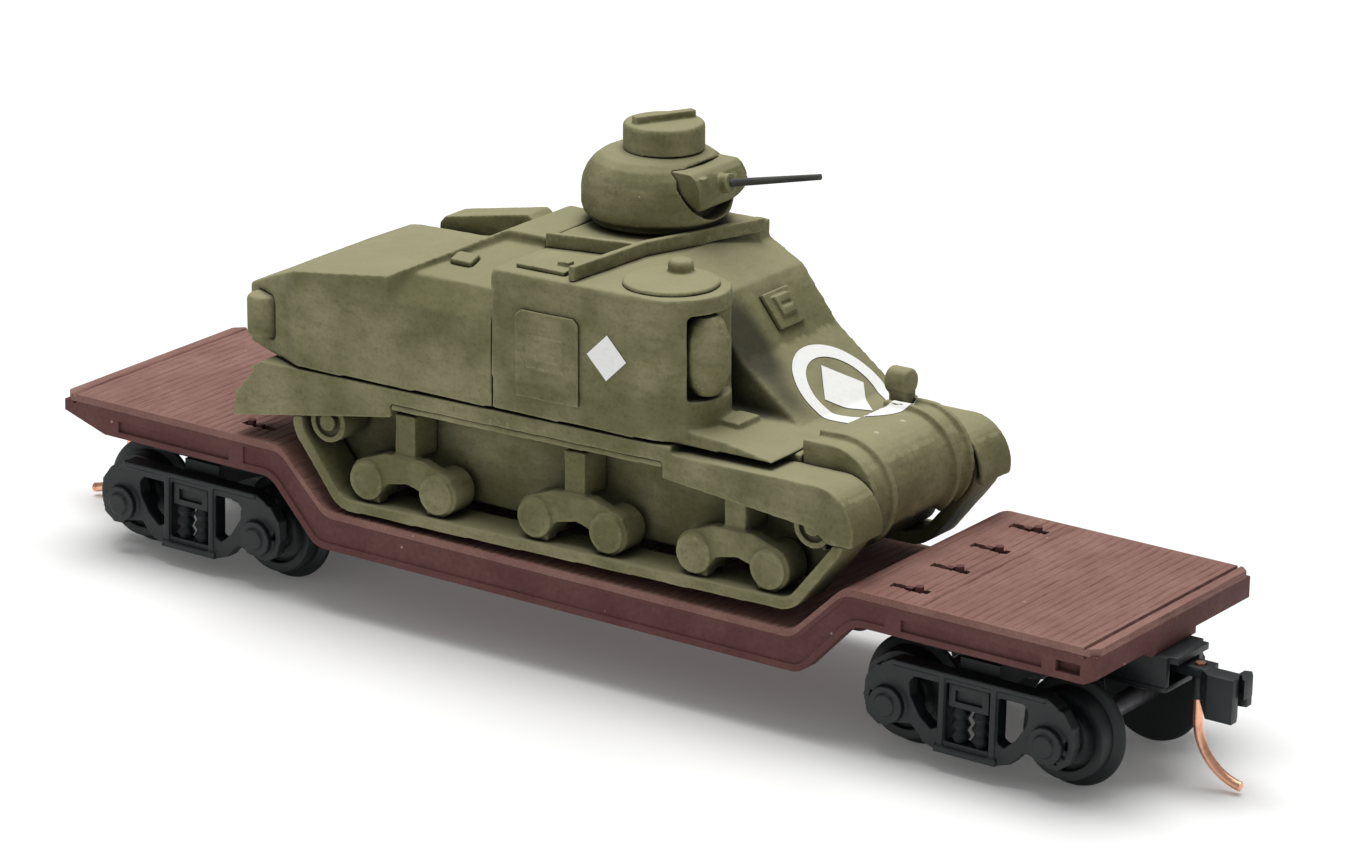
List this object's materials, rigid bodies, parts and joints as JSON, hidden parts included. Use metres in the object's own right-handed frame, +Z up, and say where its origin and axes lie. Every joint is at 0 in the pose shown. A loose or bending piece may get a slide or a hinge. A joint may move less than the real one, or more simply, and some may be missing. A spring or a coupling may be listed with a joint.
{
  "type": "model flat car",
  "caption": "Small-gauge model railway flat car with a depressed centre deck, swivelling trucks, knuckle couplers and a miniature tank as its load.",
  "frame": {"origin": "middle of the car at the bottom of the wheel flanges", "axes": "+X along the car towards the tank's nose, +Y to the car's left, +Z up"},
  "size_m": [0.0604, 0.0132, 0.0227],
  "materials": {
    "car_brown": "matt oxide red-brown paint",
    "deck_brown": "matt oxide red-brown plank deck, lightly dusted",
    "truck_black": "satin black engineering plastic",
    "screw_steel": "plain steel",
    "trip_pin_copper": "bare copper-coloured wire",
    "tank_olive": "matt olive drab paint over a casting",
    "gun_metal": "dark grey wire"
  },
  "bodies": {
    "car": {"car_body": "car_brown", "centre_deck": "deck_brown", "end_deck_front": "deck_brown", "end_deck_rear": "deck_brown", "tie_down_rings": "car_brown", "kingpins": "screw_steel", "coupler_screws": "screw_steel", "centring_springs": "screw_steel", "coupler_box_front": "truck_black", "coupler_lid_front": "truck_black", "coupler_box_rear": "truck_black", "coupler_lid_rear": "truck_black"},
    "truck_front": {"bolster_front": "truck_black", "bolster_springs_front": "truck_black", "sideframe_front_left": "truck_black", "sideframe_front_right": "truck_black"},
    "wheelset_front_outer": {"axle_front_outer": "screw_steel", "wheels_front_outer": "truck_black"},
    "wheelset_front_inner": {"axle_front_inner": "screw_steel", "wheels_front_inner": "truck_black"},
    "coupler_front": {"coupler_head_front": "truck_black"},
    "knuckle_front": {"coupler_knuckle_front": "truck_black", "trip_pin_front": "trip_pin_copper"},
    "truck_rear": {"bolster_rear": "truck_black", "bolster_springs_rear": "truck_black", "sideframe_rear_left": "truck_black", "sideframe_rear_right": "truck_black"},
    "wheelset_rear_outer": {"axle_rear_outer": "screw_steel", "wheels_rear_outer": "truck_black"},
    "wheelset_rear_inner": {"axle_rear_inner": "screw_steel", "wheels_rear_inner": "truck_black"},
    "coupler_rear": {"coupler_head_rear": "truck_black"},
    "knuckle_rear": {"coupler_knuckle_rear": "truck_black", "trip_pin_rear": "trip_pin_copper"},
    "tank": {"tank_lower_hull": "tank_olive", "tank_upper_hull": "tank_olive", "tank_engine_deck": "tank_olive", "tank_nose": "tank_olive", "tank_rear_louvres": "tank_olive", "tank_roof_rims": "tank_olive", "tank_stowage_roll": "tank_olive", "tank_gun_rotor": "tank_olive", "tank_sponson_hatch": "tank_olive", "tank_roof_fittings": "tank_olive", "tank_driver_port": "tank_olive", "tank_lamp": "tank_olive", "tank_air_cleaners": "tank_olive", "tank_side_doors": "tank_olive", "tank_sprockets": "tank_olive", "tank_idlers": "tank_olive", "tank_fender_left": "tank_olive", "tank_fender_right": "tank_olive", "tank_track_left": "tank_olive", "tank_track_right": "tank_olive", "tank_bogies_left": "tank_olive", "tank_bogies_right": "tank_olive"},
    "turret": {"turret_shell": "tank_olive", "turret_mantlet": "tank_olive", "turret_barrel": "gun_metal", "turret_cupola": "tank_olive"}
  },
  "joints": [
    {"name": "truck_front_swivel", "type": "hinge", "parent": "car", "child": "truck_front", "pos_m": [0.02024, 0, 0.0045], "axis": [0, 0, 1], "range_deg": [-12, 12]},
    {"name": "wheelset_front_outer_roll", "type": "hinge", "parent": "truck_front", "child": "wheelset_front_outer", "pos_m": [0.02405, 0, 0.0024], "axis": [0, 1, 0], "continuous": true},
    {"name": "wheelset_front_inner_roll", "type": "hinge", "parent": "truck_front", "child": "wheelset_front_inner", "pos_m": [0.01643, 0, 0.0024], "axis": [0, 1, 0], "continuous": true},
    {"name": "coupler_front_swing", "type": "hinge", "parent": "car", "child": "coupler_front", "pos_m": [0.0255, 0, 0.005], "axis": [0, 0, 1], "range_deg": [-8, 8], "stiffness_Nm_per_rad": 0.000002},
    {"name": "knuckle_front_open", "type": "hinge", "parent": "coupler_front", "child": "knuckle_front", "pos_m": [0.02795, 0, 0.004], "axis": [0, 0, 1], "range_deg": [0, 12], "stiffness_Nm_per_rad": 0.000001},
    {"name": "truck_rear_swivel", "type": "hinge", "parent": "car", "child": "truck_rear", "pos_m": [-0.02024, 0, 0.0045], "axis": [0, 0, 1], "range_deg": [-12, 12]},
    {"name": "wheelset_rear_outer_roll", "type": "hinge", "parent": "truck_rear", "child": "wheelset_rear_outer", "pos_m": [-0.02405, 0, 0.0024], "axis": [0, 1, 0], "continuous": true},
    {"name": "wheelset_rear_inner_roll", "type": "hinge", "parent": "truck_rear", "child": "wheelset_rear_inner", "pos_m": [-0.01643, 0, 0.0024], "axis": [0, 1, 0], "continuous": true},
    {"name": "coupler_rear_swing", "type": "hinge", "parent": "car", "child": "coupler_rear", "pos_m": [-0.0255, 0, 0.005], "axis": [0, 0, 1], "range_deg": [-8, 8], "stiffness_Nm_per_rad": 0.000002},
    {"name": "knuckle_rear_open", "type": "hinge", "parent": "coupler_rear", "child": "knuckle_rear", "pos_m": [-0.02795, 0, 0.004], "axis": [0, 0, 1], "range_deg": [0, 12], "stiffness_Nm_per_rad": 0.000001},
    {"name": "tank_lift", "type": "slide", "parent": "car", "child": "tank", "axis": [0, 0, 1], "range_m": [0, 0.015]},
    {"name": "turret_turn", "type": "hinge", "parent": "tank", "child": "turret", "pos_m": [-0.00114, 0.00275, 0.01827], "axis": [-0.0262, 0, 0.9997], "continuous": true}
  ]
}
